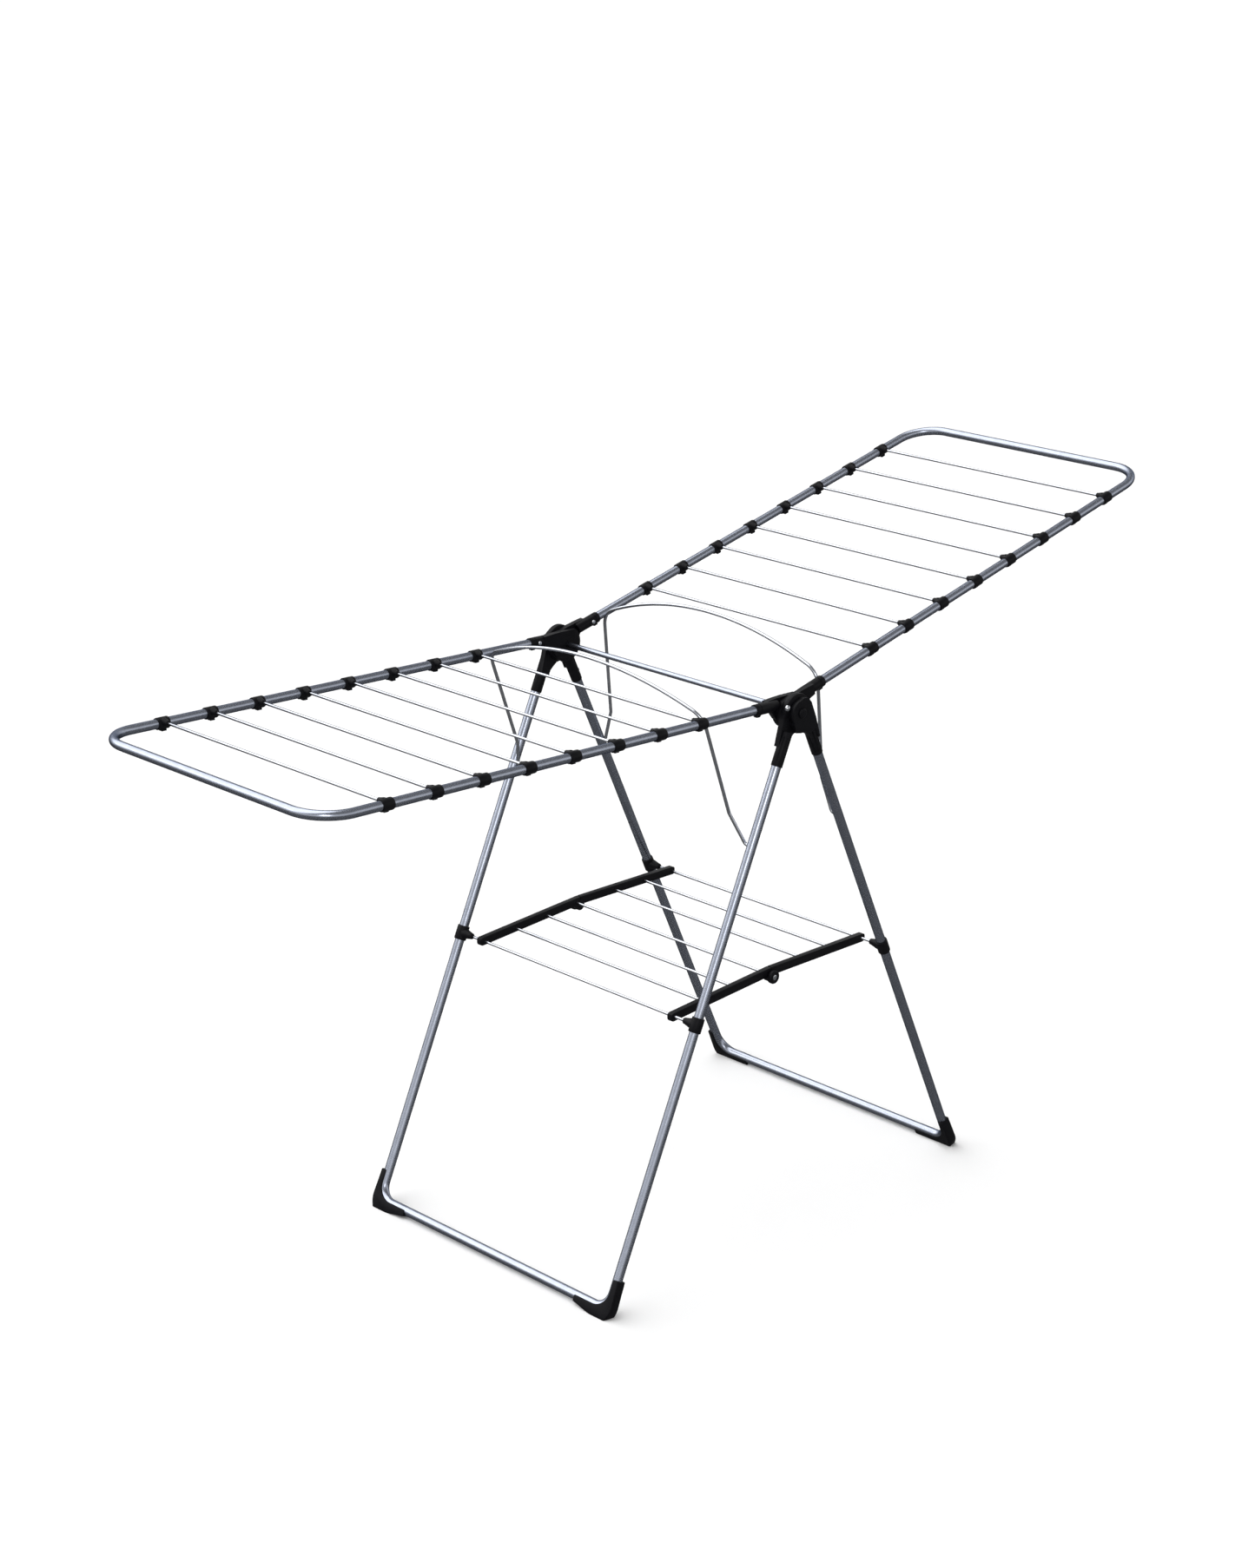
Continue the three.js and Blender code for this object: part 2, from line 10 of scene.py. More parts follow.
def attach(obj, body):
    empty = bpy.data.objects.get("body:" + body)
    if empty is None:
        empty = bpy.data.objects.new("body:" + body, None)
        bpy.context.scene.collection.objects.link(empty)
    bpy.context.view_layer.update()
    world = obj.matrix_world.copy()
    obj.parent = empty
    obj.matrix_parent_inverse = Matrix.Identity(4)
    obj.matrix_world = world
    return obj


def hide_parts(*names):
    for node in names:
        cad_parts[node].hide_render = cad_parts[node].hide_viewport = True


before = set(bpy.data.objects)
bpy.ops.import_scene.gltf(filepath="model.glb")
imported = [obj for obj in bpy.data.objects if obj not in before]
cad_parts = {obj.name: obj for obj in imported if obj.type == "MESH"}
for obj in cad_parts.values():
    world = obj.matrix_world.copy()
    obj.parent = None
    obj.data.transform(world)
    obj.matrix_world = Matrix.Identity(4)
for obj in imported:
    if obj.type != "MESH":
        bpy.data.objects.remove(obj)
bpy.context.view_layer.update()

# ---- sizes, the same as the part's -----------------------------------------------------------
# A name that ends in _R is a radius. IN and OUT are the faces nearer to and further from the
# middle of the rack. Each half of the rack is drawn towards +X from the hinge and then placed.
HINGE = Vector((0.011659, 0.0, 0.965))
RAIL_PLANE = 0.270
WING_TUBE_R = 0.008
WING_BEND = 0.065
RAIL_LIFT = 0.0132
RAIL_START = 0.034
RISE = {"left": math.radians(3.2), "right": math.radians(12.4)}
RODS = 8
FIRST_ROD = 0.2185
ROD_PITCH = 0.097
WING_LENGTH = FIRST_ROD + (RODS - 1) * ROD_PITCH + 0.126
ROD_R = 0.0025
ROD_LIFT = 0.003
LEG_TUBE_R = 0.0085
LEG_PLANE = 0.2903
SPREAD = math.radians(24.8)
LEG_OFFSET = 0.0118
LEG_BEND = 0.032
LEG_START = 0.042
FOOT_TUBE_HEIGHT = 0.0115
CAP_UP = 0.054
CAP_ALONG = 0.074
LEG_LENGTH = (HINGE.z - FOOT_TUBE_HEIGHT + LEG_OFFSET * math.sin(SPREAD)) / math.cos(SPREAD)
BAR_R = 0.005
SLEEVE_R = 0.010
LEG_SLEEVE_R = 0.010
WING_PLATE_R = 0.032
WING_PLATE_TOP = 0.026
REAR_PLATE_R = 0.023
WING_SLEEVE_END = 0.088
LEG_SLEEVE_END = 0.098
LEG_SIDE_IN = 0.2803
FRONT_PLATE_OUT = 0.29025
LEG_SIDE_OUT = 0.3003
STAY_R = 0.003
STAY_HALF_WIDTH = 0.256
STAY_FOOT = 0.276
STAY_FLARE = 0.060
STAY_PIVOT = 0.238
STAY_HEIGHT = 0.311
ARCH_R = 0.600
ARCH_CORNER = 0.036
CROSSING = {"left": 0.195, "right": 0.094}
SHELF_Z = 0.4686 - HINGE.z
SHELF_ALONG = (LEG_OFFSET * math.sin(SPREAD) - SHELF_Z) / math.cos(SPREAD)
SHELF_X = LEG_OFFSET * math.cos(SPREAD) + SHELF_ALONG * math.sin(SPREAD)
SHELF_PLANE = 0.236
SHELF_PEAK = 0.009
SHELF_TILT = math.atan2(SHELF_PEAK, SHELF_X)
SHELF_HALF = math.hypot(SHELF_PEAK, SHELF_X)
SHELF_PITCH = (SHELF_HALF - 0.012) / 3
KNOB_DROP = 0.009
KNOB_U = KNOB_DROP * math.sin(SHELF_TILT)
KNOB_W = -KNOB_DROP * math.cos(SHELF_TILT)
STUB_END = 0.261


# ---- materials -------------------------------------------------------------------------------
def material(name, colour, edge, metallic, roughness, specular, spread, bump, scale, stretch):
    """A shader with roughness and tone that wander, and a fine bump, all in object coordinates."""
    made = bpy.data.materials.new(name)
    made.use_nodes = True
    nodes = made.node_tree.nodes
    links = made.node_tree.links
    shader = nodes["Principled BSDF"]
    shader.inputs["Metallic"].default_value = metallic
    shader.inputs["Specular IOR Level"].default_value = specular
    shader.inputs["Specular Tint"].default_value = (*edge, 1)
    place = nodes.new("ShaderNodeTexCoord")
    mapping = nodes.new("ShaderNodeMapping")
    mapping.inputs["Scale"].default_value = stretch
    links.new(place.outputs["Object"], mapping.inputs["Vector"])
    coarse = nodes.new("ShaderNodeTexNoise")
    coarse.inputs["Scale"].default_value = scale * 0.08
    coarse.inputs["Detail"].default_value = 3.0
    links.new(mapping.outputs["Vector"], coarse.inputs["Vector"])
    fine = nodes.new("ShaderNodeTexNoise")
    fine.inputs["Scale"].default_value = scale
    fine.inputs["Detail"].default_value = 2.0
    links.new(mapping.outputs["Vector"], fine.inputs["Vector"])
    tone = nodes.new("ShaderNodeValToRGB")
    tone.color_ramp.elements[0].position = 0.3
    tone.color_ramp.elements[1].position = 0.7
    tone.color_ramp.elements[0].color = (*[c * (1 - spread) for c in colour], 1)
    tone.color_ramp.elements[1].color = (*[min(1.0, c * (1 + spread)) for c in colour], 1)
    links.new(coarse.outputs["Fac"], tone.inputs["Fac"])
    links.new(tone.outputs["Color"], shader.inputs["Base Color"])
    rough = nodes.new("ShaderNodeMapRange")
    rough.inputs["To Min"].default_value = roughness * 0.8
    rough.inputs["To Max"].default_value = roughness * 1.2
    links.new(fine.outputs["Fac"], rough.inputs["Value"])
    links.new(rough.outputs["Result"], shader.inputs["Roughness"])
    lift = nodes.new("ShaderNodeBump")
    lift.inputs["Strength"].default_value = bump
    lift.inputs["Distance"].default_value = 0.0002
    links.new(fine.outputs["Fac"], lift.inputs["Height"])
    links.new(lift.outputs["Normal"], shader.inputs["Normal"])
    return made


TUBE = material(
    "satin_grey_tube", colour=(0.42, 0.45, 0.53), edge=(0.15, 0.17, 0.22), metallic=1.0,
    roughness=0.26, specular=0.5, spread=0.06, bump=0.02, scale=900, stretch=(1, 1, 1),
)
WIRE = material(
    "bright_wire", colour=(0.62, 0.64, 0.69), edge=(0.16, 0.18, 0.24), metallic=1.0,
    roughness=0.22, specular=0.5, spread=0.05, bump=0.03, scale=1200, stretch=(1, 0.15, 1),
)
PLASTIC = material(
    "black_moulding", colour=(0.004, 0.004, 0.0055), edge=(1, 1, 1), metallic=0.0,
    roughness=0.45, specular=0.12, spread=0.15, bump=0.18, scale=1500, stretch=(1, 1, 1),
)
SCREW = material(
    "bright_rivet", colour=(0.62, 0.64, 0.68), edge=(0.4, 0.42, 0.46), metallic=1.0,
    roughness=0.2, specular=0.5, spread=0.03, bump=0.03, scale=1500, stretch=(1, 1, 1),
)


# ---- mesh tools ------------------------------------------------------------------------------
def closed_mesh(name, verts, faces):
    mesh = bpy.data.meshes.new(name)
    mesh.from_pydata([tuple(v) for v in verts], [], faces)
    tool = bmesh.new()
    tool.from_mesh(mesh)
    bmesh.ops.remove_doubles(tool, verts=tool.verts, dist=1e-7)
    bmesh.ops.recalc_face_normals(tool, faces=tool.faces)
    tool.to_mesh(mesh)
    tool.free()
    return mesh


def ring(radius, count):
    step = 2 * math.pi / count
    return [(radius * math.cos(i * step), radius * math.sin(i * step)) for i in range(count)]


def sweep(name, stations, profile, normal):
    """A profile carried along stations of (point, tangent); normal is the first station's."""
    verts = []
    count = len(profile)
    before = stations[0][1].normalized()
    n = normal.normalized()
    for point, tangent in stations:
        t = tangent.normalized()
        n = before.rotation_difference(t) @ n
        before = t
        b = t.cross(n)
        verts += [point + n * u + b * v for u, v in profile]
    faces = []
    for i in range(len(stations) - 1):
        for j in range(count):
            k = (j + 1) % count
            faces.append((i * count + j, i * count + k, (i + 1) * count + k, (i + 1) * count + j))
    faces.append(tuple(reversed(range(count))))
    last = (len(stations) - 1) * count
    faces.append(tuple(range(last, last + count)))
    return closed_mesh(name, verts, faces)


def rounded_run(corners, bend, steps):
    """Stations through corners, each corner rounded to the bend radius."""
    run = [(corners[0], corners[1] - corners[0])]
    for i in range(1, len(corners) - 1):
        before = (corners[i] - corners[i - 1]).normalized()
        after = (corners[i + 1] - corners[i]).normalized()
        turn = before.angle(after)
        inward = (after - before).normalized()
        centre = corners[i] + inward * (bend / math.cos(turn / 2))
        axis = before.cross(after).normalized()
        arm = corners[i] - before * (bend * math.tan(turn / 2)) - centre
        for k in range(steps + 1):
            turned = Matrix.Rotation(turn * k / steps, 3, axis)
            run.append((centre + turned @ arm, turned @ before))
    run.append((corners[-1], corners[-1] - corners[-2]))
    return run


def lathe(name, profile, origin, axis, count=40):
    """A profile of (radius, height) turned about an axis.

    The profile starts and ends on the axis, or it is a ring that closes on itself.
    """
    turn = Vector((0, 0, 1)).rotation_difference(Vector(axis).normalized()).to_matrix()
    closed = profile[0][0] > 1e-9
    verts = []
    for radius, height in profile:
        for i in range(count):
            a = 2 * math.pi * i / count
            p = Vector((radius * math.cos(a), radius * math.sin(a), height))
            verts.append(Vector(origin) + turn @ p)
    faces = []
    rows = len(profile)
    for r in range(rows if closed else rows - 1):
        s = (r + 1) % rows
        for i in range(count):
            j = (i + 1) % count
            faces.append((r * count + i, r * count + j, s * count + j, s * count + i))
    return closed_mesh(name, verts, faces)


def rod_profile(radius, length, edge=0.0004):
    """A round bar's profile with a small rounded edge at each end."""
    return [
        (0, 0), (radius - edge, 0), (radius - edge * 0.3, edge * 0.3), (radius, edge),
        (radius, length - edge), (radius - edge * 0.3, length - edge * 0.3),
        (radius - edge, length), (0, length),
    ]


def bar(name, start, end, radius, count=32, edge=0.0004):
    axis = Vector(end) - Vector(start)
    return lathe(name, rod_profile(radius, axis.length, edge), start, axis, count)


def slab(name, outline, y0, y1):
    """A flat outline in X and Z, thickened in Y."""
    verts = [Vector((x, y, z)) for y in (y0, y1) for x, z in outline]
    count = len(outline)
    faces = [tuple(range(count)), tuple(reversed(range(count, 2 * count)))]
    for j in range(count):
        k = (j + 1) % count
        faces.append((j, count + j, count + k, k))
    return closed_mesh(name, verts, faces)


def thing(name, mesh):
    made = bpy.data.objects.new(name, mesh)
    bpy.context.scene.collection.objects.link(made)
    return made


def joined(name, meshes, cuts=(), edge=0.0, segments=2):
    """Solids joined and cut, with their edges rounded, as one mesh."""
    base = thing(name, meshes[0])
    tools = [(m, "UNION") for m in meshes[1:]] + [(m, "DIFFERENCE") for m in cuts]
    helpers = []
    for mesh, what in tools:
        helper = thing(name + "_tool", mesh)
        helpers.append(helper)
        cut = base.modifiers.new("cut", "BOOLEAN")
        cut.operation = what
        cut.solver = "EXACT"
        cut.object = helper
    if edge > 0:
        bevel = base.modifiers.new("edge", "BEVEL")
        bevel.width = edge
        bevel.segments = segments
        bevel.limit_method = "ANGLE"
        bevel.angle_limit = math.radians(38)
        bevel.use_clamp_overlap = True
    bpy.context.view_layer.update()
    evaluated = base.evaluated_get(bpy.context.evaluated_depsgraph_get())
    mesh = bpy.data.meshes.new_from_object(evaluated)
    for helper in [base] + helpers:
        bpy.data.objects.remove(helper)
    return mesh


def mirrored(mesh):
    copy = mesh.copy()
    copy.transform(Matrix.Scale(-1, 4, Vector((0, 1, 0))))
    copy.flip_normals()
    return copy


def piece(name, mesh, look, body, nodes, place=Matrix.Identity(4), sharp=38):
    """One finished piece of the rack, placed, painted, and riding on its body."""
    mesh = mesh.copy()
    mesh.transform(place)
    mesh.shade_smooth()
    mesh.set_sharp_from_angle(angle=math.radians(sharp))
    if not mesh.materials:
        mesh.materials.append(look)
    made = thing(name, mesh)
    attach(made, body)
    if nodes:
        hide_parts(*nodes)
    return made


# ---- shapes that repeat ----------------------------------------------------------------------
def wing_clamp():
    """The moulded band round the rail with the cone that holds the rod's end, on the +Y side."""
    inner = WING_TUBE_R + 0.0001
    outer = WING_TUBE_R + 0.0020
    half = 0.011
    band = [
        (inner, -half), (outer - 0.0008, -half), (outer - 0.0002, -half + 0.0003), (outer, -half + 0.0010),
        (outer, half - 0.0010), (outer - 0.0002, half - 0.0003), (outer - 0.0008, half), (inner, half),
    ]
    ringed = lathe("clamp_band", band, (0, RAIL_PLANE, RAIL_LIFT), (1, 0, 0), 48)
    cone = [
        (0, 0), (0.0070, 0), (0.0066, 0.0030), (0.0056, 0.0060), (0.0048, 0.0090),
        (0.0044, 0.0115), (0.0036, 0.0124), (0, 0.0124),
    ]
    start = (0, RAIL_PLANE - WING_TUBE_R + 0.0030, RAIL_LIFT + ROD_LIFT)
    boss = lathe("clamp_boss", cone, start, (0, -1, 0), 32)
    bore = bar("clamp_bore", (-0.02, RAIL_PLANE, RAIL_LIFT), (0.02, RAIL_PLANE, RAIL_LIFT), inner, 48)
    lug = slab("clamp_lug", [(-0.0045, RAIL_LIFT - 0.0118), (0.0045, RAIL_LIFT - 0.0118),
                             (0.0045, RAIL_LIFT - 0.006), (-0.0045, RAIL_LIFT - 0.006)],
               RAIL_PLANE - 0.0065, RAIL_PLANE + 0.0015)
    return joined("wing_clamp", [ringed, boss, lug], [bore], 0.0005)


def wing_bracket(is_inner):
    """The pivot plate and sleeve of one rail, on the +Y side."""
    y0 = RAIL_PLANE - SLEEVE_R if is_inner else RAIL_PLANE + 0.00015
    y1 = RAIL_PLANE - 0.00015 if is_inner else RAIL_PLANE + SLEEVE_R
    crown = WING_PLATE_TOP - 0.0002
    plate = bar("plate", (0, y0, 0), (0, y1, 0), WING_PLATE_R, 64, 0.001)
    web = slab("web", [(-0.019, crown - 0.002), (-0.008, crown), (0.014, crown), (0.036, crown - 0.001),
                       (0.058, RAIL_LIFT + SLEEVE_R - 0.0002), (0.058, RAIL_LIFT - SLEEVE_R + 0.001),
                       (0.044, RAIL_LIFT - SLEEVE_R - 0.001), (0.030, -0.013), (-0.004, -0.022)], y0, y1)
    above = slab("above", [(-0.05, crown), (0.05, crown), (0.05, 0.05), (-0.05, 0.05)],
                 y0 - 0.001, y1 + 0.001)
    start = Vector((WING_PLATE_R + 0.002, RAIL_PLANE, RAIL_LIFT))
    end = Vector((WING_SLEEVE_END, RAIL_PLANE, RAIL_LIFT))
    sleeve = bar("sleeve", start, end, SLEEVE_R, 48, 0.0008)
    cut_in = SLEEVE_R - 0.0006
    cut_out = SLEEVE_R + 0.002
    groove_ring = [(cut_in, -0.0006), (cut_out, -0.0006), (cut_out, 0.0006), (cut_in, 0.0006)]
    groove = lathe("groove", groove_ring, end - Vector((0.010, 0, 0)), (1, 0, 0), 48)
    nub = slab("nub", [(0.076, RAIL_LIFT - 0.0125), (0.084, RAIL_LIFT - 0.0125), (0.086, RAIL_LIFT - 0.006),
                       (0.070, RAIL_LIFT - 0.006)], RAIL_PLANE - 0.0035, RAIL_PLANE + 0.0035)
    bore = bar("bore", end - Vector((0.030, 0, 0)), end + Vector((0.01, 0, 0)), WING_TUBE_R + 0.0001, 48)
    hole = bar("hole", (0, y0 - 0.005, 0), (0, y1 + 0.005, 0), BAR_R + 0.0002, 40)
    flat = joined("wing_plate", [plate], [above])
    return joined("wing_bracket", [flat, web, sleeve, nub], [bore, hole, groove], 0.0009)


def leg_bracket(is_front):
    """The pivot plate and ribbed sleeve of one leg, on the +Y side."""
    y0 = LEG_SIDE_IN if is_front else FRONT_PLATE_OUT + 0.0003
    y1 = FRONT_PLATE_OUT if is_front else LEG_SIDE_OUT
    radius = WING_PLATE_R if is_front else REAR_PLATE_R
    half = LEG_SLEEVE_R
    plate = bar("plate", (0, y0, 0), (0, y1, 0), radius, 64, 0.0012)
    inner = LEG_OFFSET - half
    outer = LEG_OFFSET + half
    outline = [(-0.0265, -0.0230), (-0.0175, -0.0300), (-0.0075, -0.0360), (-0.0030, -0.0435),
               (inner, -0.053), (inner, -0.066), (outer, -0.066)]
    if is_front:
        outline += [(0.0265, -0.036), (0.0308, -0.010), (0, 0), (-0.024, -0.004)]
    else:
        outline += [(0.0265, -0.028), (0.0275, 0.004), (0.024, 0.015), (0.015, 0.0215), (0, 0.0225),
                    (-0.015, 0.012), (-0.024, -0.008)]
    web = slab("web", outline, y0, y1)
    top = Vector((LEG_OFFSET, LEG_PLANE, -(WING_PLATE_R + 0.0055)))
    low = Vector((LEG_OFFSET, LEG_PLANE, -LEG_SLEEVE_END))
    sleeve = bar("sleeve", top, low, half, 48, 0.0008)
    grooves = []
    for spot in (-62, -22, 22, 62):
        a = math.radians(spot)
        x = LEG_OFFSET + (half + 0.0005) * math.sin(a)
        y = LEG_PLANE + (half + 0.0005) * math.cos(a)
        grooves.append(bar("groove", (x, y, -0.046), (x, y, -LEG_SLEEVE_END + 0.009), 0.0015, 16, 0.0008))
    bore = bar("bore", low + Vector((0, 0, 0.030)), low - Vector((0, 0, 0.01)), LEG_TUBE_R + 0.0001, 48)
    hole = bar("hole", (0, y0 - 0.005, 0), (0, y1 + 0.005, 0), BAR_R + 0.0002, 40)
    return joined("leg_bracket", [plate, web, sleeve], [bore, hole] + grooves, 0.0007)


def foot_cap():
    """The corner block round one floor bend, open inside along the tube, cut flat at the floor."""
    foot = -LEG_LENGTH
    lip = 0.002
    sole = foot - 0.020
    outside = LEG_PLANE + LEG_TUBE_R + 0.0035
    outline = [
        (LEG_PLANE - lip, foot + CAP_UP), (LEG_PLANE + LEG_TUBE_R + 0.001, foot + CAP_UP),
        (outside, foot + 0.006), (outside - 0.0004, foot), (outside - 0.0016, foot - 0.005),
        (outside - 0.0046, foot - 0.012), (outside - 0.009, sole),
        (LEG_PLANE - 0.022, sole), (LEG_PLANE - CAP_ALONG, foot - LEG_TUBE_R - 0.001),
        (LEG_PLANE - CAP_ALONG, foot + lip),
    ]
    bend_y = LEG_PLANE - LEG_BEND
    bend_z = foot + LEG_BEND
    for k in range(11):
        a = -math.pi / 2 * (1 - k / 10)
        outline.append((bend_y + (LEG_BEND - lip) * math.cos(a), bend_z + (LEG_BEND - lip) * math.sin(a)))
    half = LEG_TUBE_R + 0.0017
    block = slab("cap_block", outline, -LEG_OFFSET - half, -LEG_OFFSET + half)
    block.transform(Matrix.Rotation(math.pi / 2, 4, "Z"))
    run = rounded_run([
        Vector((LEG_OFFSET, LEG_PLANE, foot + CAP_UP + 0.02)),
        Vector((LEG_OFFSET, LEG_PLANE, foot)),
        Vector((LEG_OFFSET, LEG_PLANE - CAP_ALONG - 0.02, foot)),
    ], LEG_BEND, 16)
    channel = sweep("channel", run, ring(LEG_TUBE_R + 0.0002, 40), Vector((1, 0, 0)))
    mesh = joined("foot_cap", [block], [], 0.0020, 4)
    mesh = joined("foot_cap", [mesh], [channel])
    mesh.transform(Matrix.Rotation(-SPREAD, 4, "Y"))
    low = -HINGE.z
    middle = LEG_LENGTH * math.sin(SPREAD)
    floor_block = slab("floor_block", [(middle - 0.2, low - 0.1), (middle + 0.2, low - 0.1),
                                       (middle + 0.2, low), (middle - 0.2, low)], 0.0, 0.5)
    return joined("foot_cap", [mesh], [floor_block], 0.0006)


def leg_clamp():
    """The clamp on a leg with the round boss that carries the shelf, on the +Y side."""
    at = Vector((LEG_OFFSET, LEG_PLANE, -SHELF_ALONG))
    up = Vector((0, 0, 0.013))
    band = bar("band", at - up, at + up, LEG_TUBE_R + 0.0025, 48, 0.0012)
    boss = lathe("boss", [(0, 0), (0.0098, 0.006), (0.0088, 0.012), (0.0076, 0.017), (0.0062, 0.023),
                          (0.0054, 0.0275), (0.0046, 0.0283), (0, 0.0283)],
                 (at.x, LEG_PLANE, at.z), (0, -1, 0), 40)
    bore = bar("bore", at - up * 3, at + up * 3, LEG_TUBE_R + 0.0001, 48)
    hole = bar("hole", (at.x, STUB_END - 0.005, at.z), (at.x, STUB_END + 0.018, at.z), ROD_R + 0.0002, 32)
    return joined("leg_clamp", [band, boss], [bore, hole], 0.0007)


def arc(cy, cz, radius, start, end, steps):
    sense = 1 if end > start else -1
    run = []
    for k in range(steps + 1):
        a = math.radians(start + (end - start) * k / steps)
        point = Vector((0, cy + radius * math.cos(a), cz + radius * math.sin(a)))
        run.append((point, Vector((0, -sense * math.sin(a), sense * math.cos(a)))))
    return run


def stay_mesh():
    pin_end = LEG_PLANE - 0.0025
    arch_z = STAY_HEIGHT - ARCH_R
    corner_y = STAY_HALF_WIDTH - ARCH_CORNER
    corner_z = arch_z + math.sqrt((ARCH_R - ARCH_CORNER) ** 2 - corner_y ** 2)
    meet = math.degrees(math.atan2(corner_z - arch_z, corner_y))
    legs = {}
    for side in (-1, 1):
        legs[side] = [
            Vector((0, side * pin_end, 0)), Vector((0, side * STAY_FOOT, 0)),
            Vector((0, side * STAY_HALF_WIDTH, STAY_FLARE)),
            Vector((0, side * STAY_HALF_WIDTH, corner_z - 0.02)),
        ]
    run = rounded_run(legs[-1], 0.007, 8)[:-1]
    run += arc(-corner_y, corner_z, ARCH_CORNER, 180, 180 - meet, 14)
    run += arc(0, arch_z, ARCH_R, 180 - meet, meet, 48)[1:]
    run += arc(corner_y, corner_z, ARCH_CORNER, meet, 0, 14)[1:]
    run += rounded_run(legs[1][::-1], 0.007, 8)[1:]
    return sweep("stay", run, ring(STAY_R, 20), Vector((1, 0, 0)))


def screw_mesh():
    """A small domed screw head with a cross slot, standing on Z = 0."""
    head = [
        (0, 0), (0.0038, 0), (0.0038, 0.0007), (0.0034, 0.0016),
        (0.0026, 0.0022), (0.0012, 0.0024), (0, 0.0024),
    ]
    dome = lathe("screw", head, (0, 0, 0), (0, 0, 1), 32)
    outline = [(-0.0022, 0.0016), (0.0022, 0.0016), (0.0022, 0.004), (-0.0022, 0.004)]
    slot = slab("slot", outline, -0.0004, 0.0004)
    turned = slot.copy()
    turned.transform(Matrix.Rotation(math.pi / 2, 4, "Z"))
    return joined("screw", [dome], [slot, turned])


def rivet_mesh():
    head = [
        (0, 0), (0.0055, 0), (0.0055, 0.0016), (0.0050, 0.0030),
        (0.0040, 0.0041), (0.0026, 0.0049), (0, 0.0053),
    ]
    return lathe("rivet", head, (0, 0, 0), (0, 0, 1), 40)


# ---- one half of the rack, drawn towards +X --------------------------------------------------
CLAMP = wing_clamp()
CLAMP_MIRROR = mirrored(CLAMP)
CAP = foot_cap()
CAP_MIRROR = mirrored(CAP)
LEG_CLAMP = leg_clamp()
LEG_CLAMP_MIRROR = mirrored(LEG_CLAMP)
STAY = stay_mesh()
SCREW_HEAD = screw_mesh()


def facing(point, outward):
    """A place for a screw or rivet: its foot at the point, its head outward."""
    turn = Vector((0, 0, 1)).rotation_difference(Vector(outward)).to_matrix().to_4x4()
    return Matrix.Translation(Vector(point)) @ turn


def wing_frame_mesh():
    corners = [
        Vector((RAIL_START, -RAIL_PLANE, RAIL_LIFT)),
        Vector((WING_LENGTH, -RAIL_PLANE, RAIL_LIFT)),
        Vector((WING_LENGTH, RAIL_PLANE, RAIL_LIFT)),
        Vector((RAIL_START, RAIL_PLANE, RAIL_LIFT)),
    ]
    return sweep("wing_frame", rounded_run(corners, WING_BEND, 24), ring(WING_TUBE_R, 32), Vector((0, 0, 1)))


def leg_frame_mesh():
    foot = -LEG_LENGTH
    corners = [
        Vector((LEG_OFFSET, -LEG_PLANE, -LEG_START)),
        Vector((LEG_OFFSET, -LEG_PLANE, foot)),
        Vector((LEG_OFFSET, LEG_PLANE, foot)),
        Vector((LEG_OFFSET, LEG_PLANE, -LEG_START)),
    ]
    return sweep("leg_frame", rounded_run(corners, LEG_BEND, 20), ring(LEG_TUBE_R, 32), Vector((1, 0, 0)))


